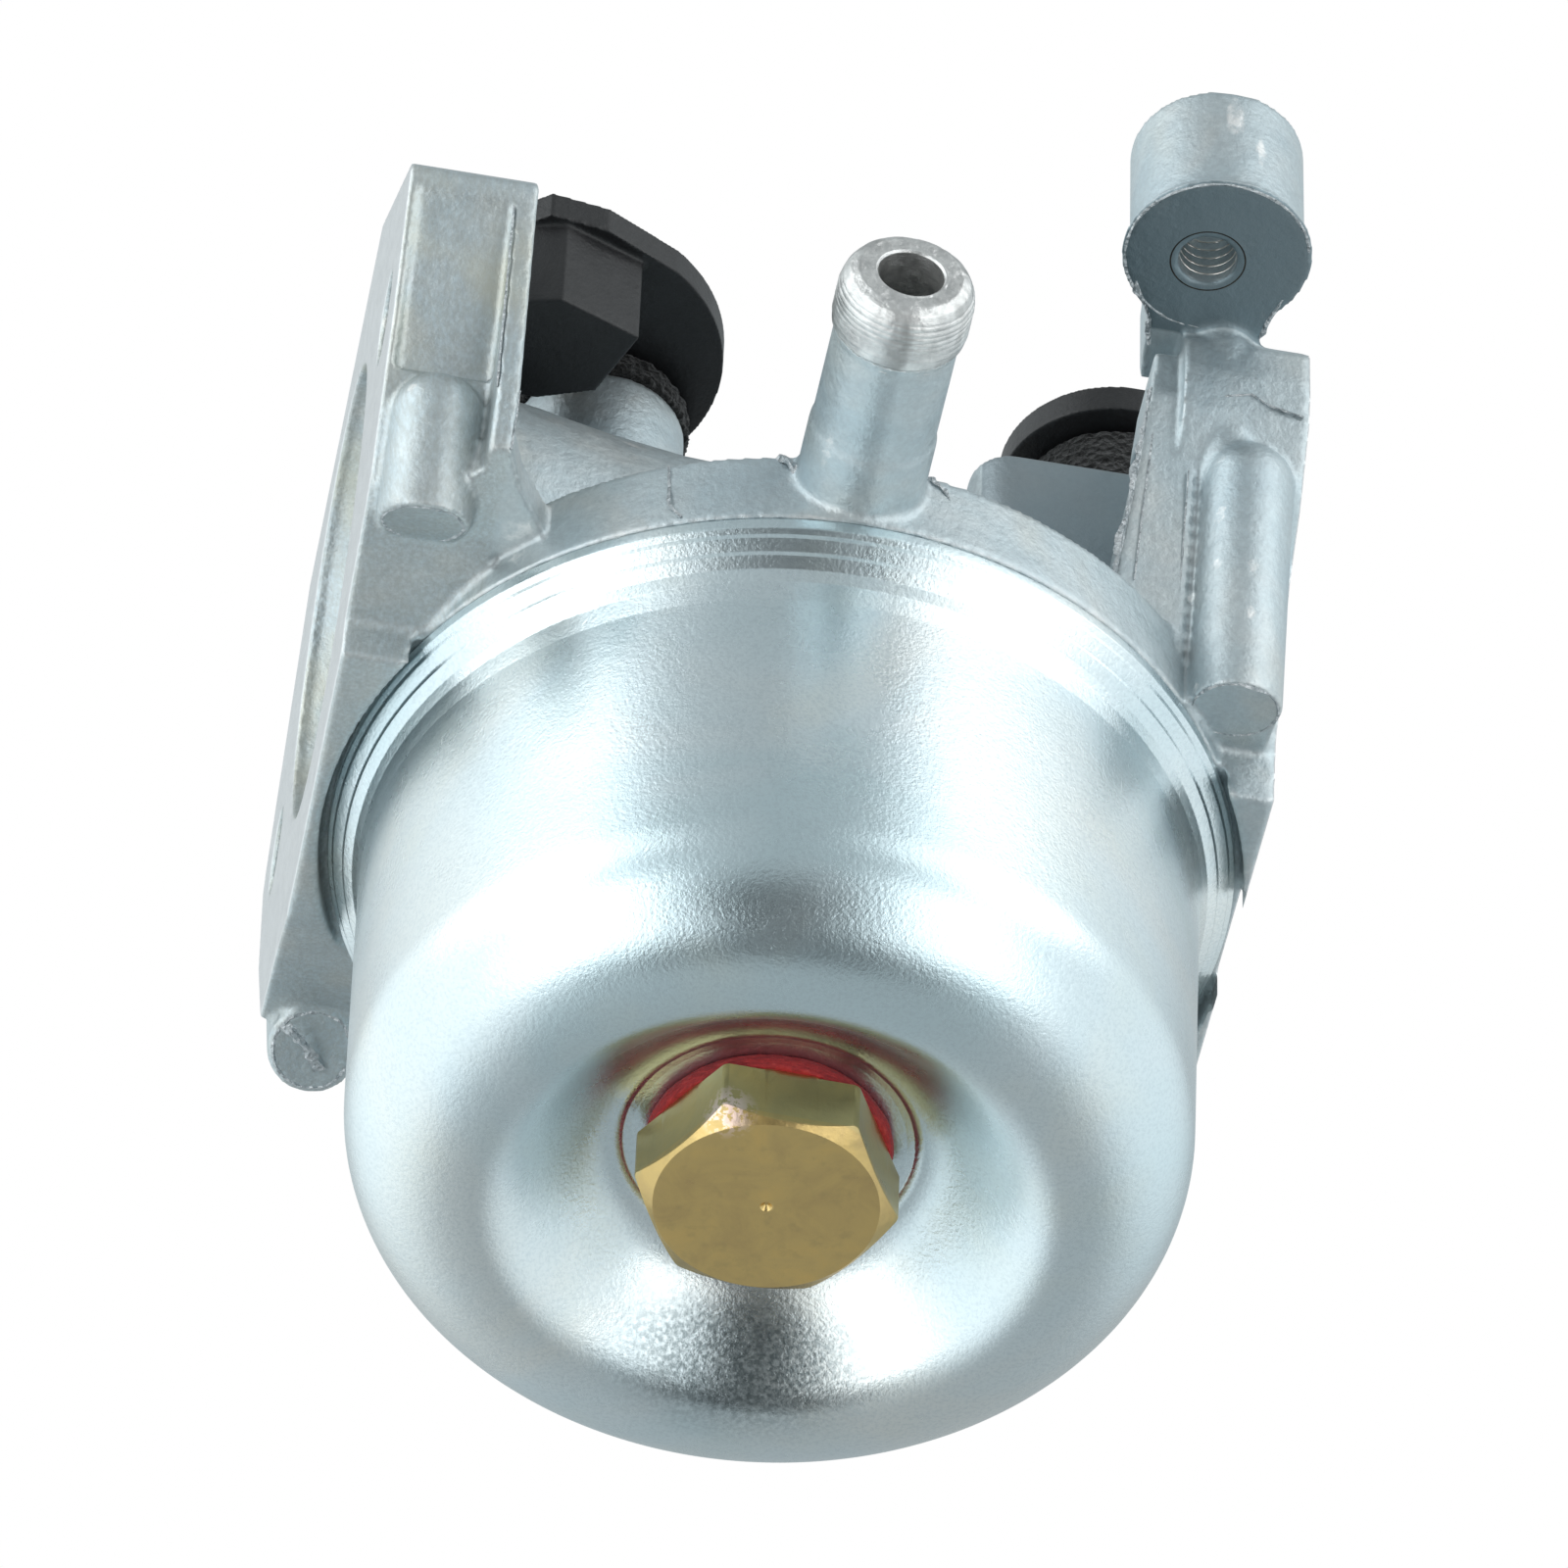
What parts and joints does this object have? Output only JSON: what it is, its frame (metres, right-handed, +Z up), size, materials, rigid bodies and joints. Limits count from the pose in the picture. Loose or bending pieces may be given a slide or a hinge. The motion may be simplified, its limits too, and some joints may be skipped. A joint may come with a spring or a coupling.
{
  "type": "carburetor",
  "caption": "Small-engine float-bowl carburetor with air and engine flanges, fuel spigot, drawn steel bowl, choke and throttle levers, float and needle.",
  "frame": {"origin": "centre of the two-stud pattern on the engine-side flange face, on the throat axis", "axes": "+X is the throat axis, out of the engine-side face in the direction of air flow; +Z points up, from the float bowl to the levers; the fuel spigot points to -Y"},
  "size_m": [0.0522, 0.0672, 0.0678],
  "materials": {
    "zinc_casting": "die-cast zinc, satin, blue-grey passivated",
    "zinc_plated_steel": "bright zinc plate with a pale blue tint, near mirror",
    "brass": "turned, satin, slightly tarnished",
    "steel": "satin",
    "red_fibre": "matt vulcanised fibre",
    "rubber": "matt nitrile rubber",
    "float_plastic": "matt natural acetal",
    "black_plastic": "moulded, matt",
    "black_foam": "open-cell foam"
  },
  "bodies": {
    "casting": {"body_casting": "zinc_casting", "float_bowl": "zinc_plated_steel", "bowl_gasket": "rubber", "bowl_bolt": "brass", "bolt_washer": "red_fibre", "float_pin": "steel", "needle_seat": "brass", "main_jet": "brass", "main_nozzle": "brass", "idle_jet": "brass", "idle_jet_seal": "rubber", "choke_seal": "black_foam", "throttle_seal": "black_foam", "idle_chamber_plug": "steel", "passage_balls": "steel"},
    "choke": {"choke_shaft": "black_plastic", "choke_lever": "black_plastic", "choke_plate": "steel", "choke_screws": "steel"},
    "throttle": {"throttle_shaft": "black_plastic", "throttle_lever": "black_plastic", "throttle_plate": "brass", "throttle_screws": "steel"},
    "float": {"float": "float_plastic"},
    "needle": {"inlet_needle": "steel", "needle_clip": "steel"}
  },
  "joints": [
    {"name": "choke_turn", "type": "hinge", "parent": "casting", "child": "choke", "pos_m": [-0.0374, 0, 0], "axis": [0, 0, 1], "range_deg": [0, 80]},
    {"name": "throttle_turn", "type": "hinge", "parent": "casting", "child": "throttle", "pos_m": [-0.0069, 0, 0], "axis": [0, 0, 1], "range_deg": [0, 72]},
    {"name": "float_swing", "type": "hinge", "parent": "casting", "child": "float", "pos_m": [-0.0256, -0.019, -0.0199], "axis": [1, 0, 0], "range_deg": [0, 7]},
    {"name": "needle_lift", "type": "slide", "parent": "casting", "child": "needle", "axis": [0, 0, 1], "range_m": [0, 0.00074]}
  ],
  "couplings": [
    {"joint": "needle_lift", "follows": "float_swing", "m_per_rad": 0.006}
  ]
}
